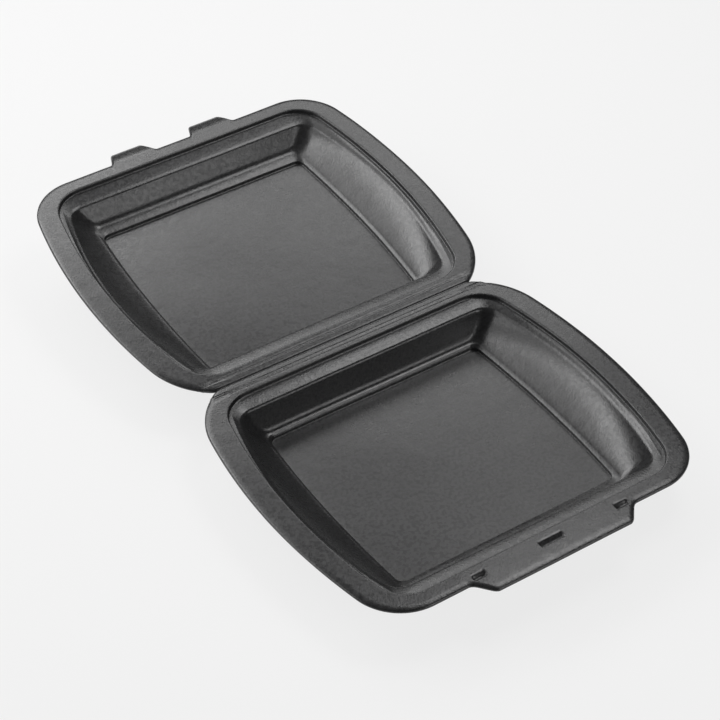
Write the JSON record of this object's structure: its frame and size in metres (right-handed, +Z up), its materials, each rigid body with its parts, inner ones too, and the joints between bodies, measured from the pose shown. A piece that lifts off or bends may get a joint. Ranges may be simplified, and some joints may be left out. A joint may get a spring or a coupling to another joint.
{
  "type": "foam clamshell container",
  "caption": "Shallow foam meal box with a hinged lid, opened almost flat: stepped rims, scooped sides, recessed floors, closing tabs and a wide lip.",
  "frame": {"origin": "on the surface that the box stands on, under the middle of the hinge line", "axes": "+X along the hinge line, +Y from the hinge towards the open lid's front, +Z up"},
  "size_m": [0.24, 0.4318, 0.047],
  "materials": {
    "tray_foam": "satin black expanded polystyrene foam with a fine closed skin",
    "lid_foam": "satin black expanded polystyrene foam with a fine closed skin",
    "pressed_foam": "the same foam, pressed thin and slightly glossier"
  },
  "bodies": {
    "base": {"base_tray": "tray_foam", "hinge_strip": "pressed_foam"},
    "lid": {"lid": "lid_foam"}
  },
  "joints": [
    {"name": "lid_hinge", "type": "hinge", "parent": "base", "child": "lid", "pos_m": [0, 0, 0.02825], "axis": [1, 0, 0], "range_deg": [-5, 175], "deforming": ["hinge_strip"]}
  ]
}
